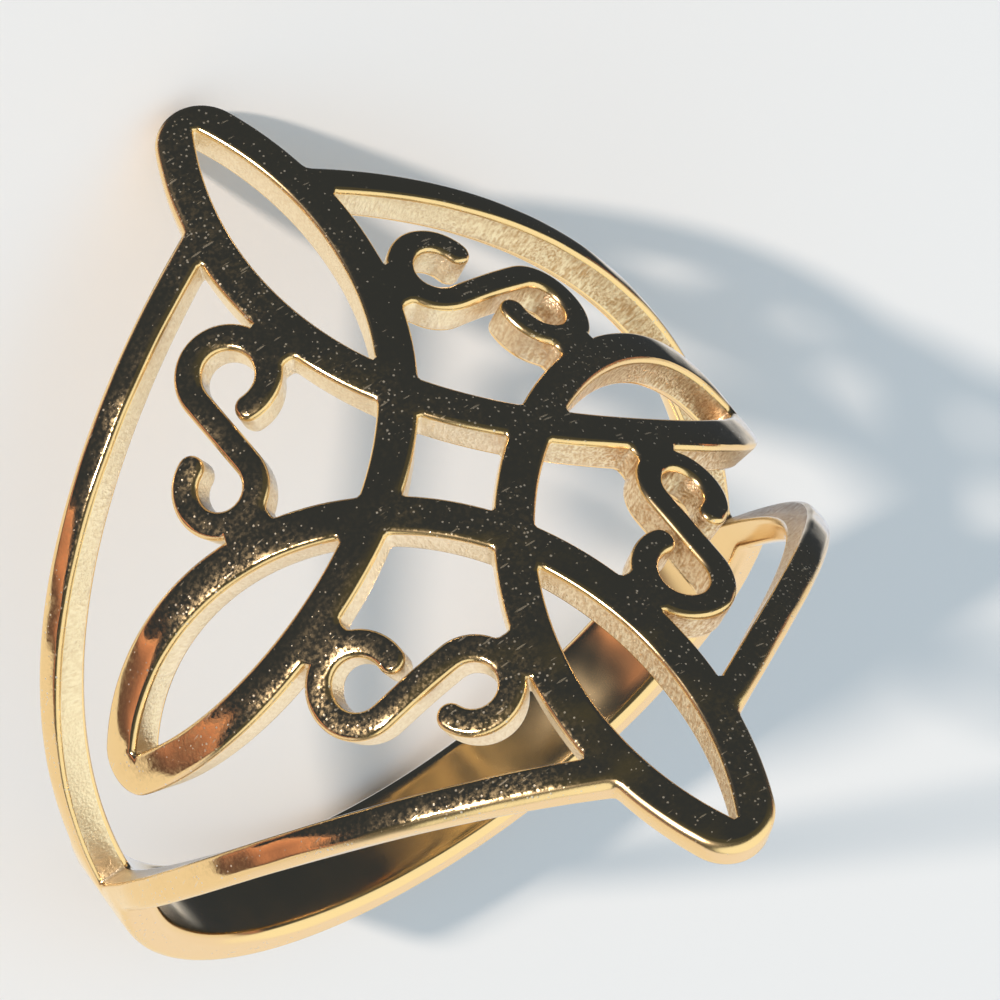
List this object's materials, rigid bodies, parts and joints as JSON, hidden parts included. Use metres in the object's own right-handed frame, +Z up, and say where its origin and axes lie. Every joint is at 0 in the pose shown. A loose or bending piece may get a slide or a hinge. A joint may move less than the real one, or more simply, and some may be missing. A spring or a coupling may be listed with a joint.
{
  "type": "witch knot ring",
  "caption": "Finger ring with a pierced witch knot face, curled scrolls between its pointed arms, split shoulders and a plain back band.",
  "frame": {"origin": "on the surface the ring lies on, below the middle of its bounding box", "axes": "+Z up from the surface; -Y towards the lower point of the knot, which touches the surface; +X across the knot; the finger hollow's axis lies in the YZ plane and leans back from +Z to +Y"},
  "size_m": [0.02, 0.024, 0.0214],
  "materials": {
    "gold_tone_steel": "gold-tone plating, mirror polished outside and inside, satin cut walls"
  },
  "bodies": {
    "root": {"ring": "gold_tone_steel"}
  },
  "joints": []
}
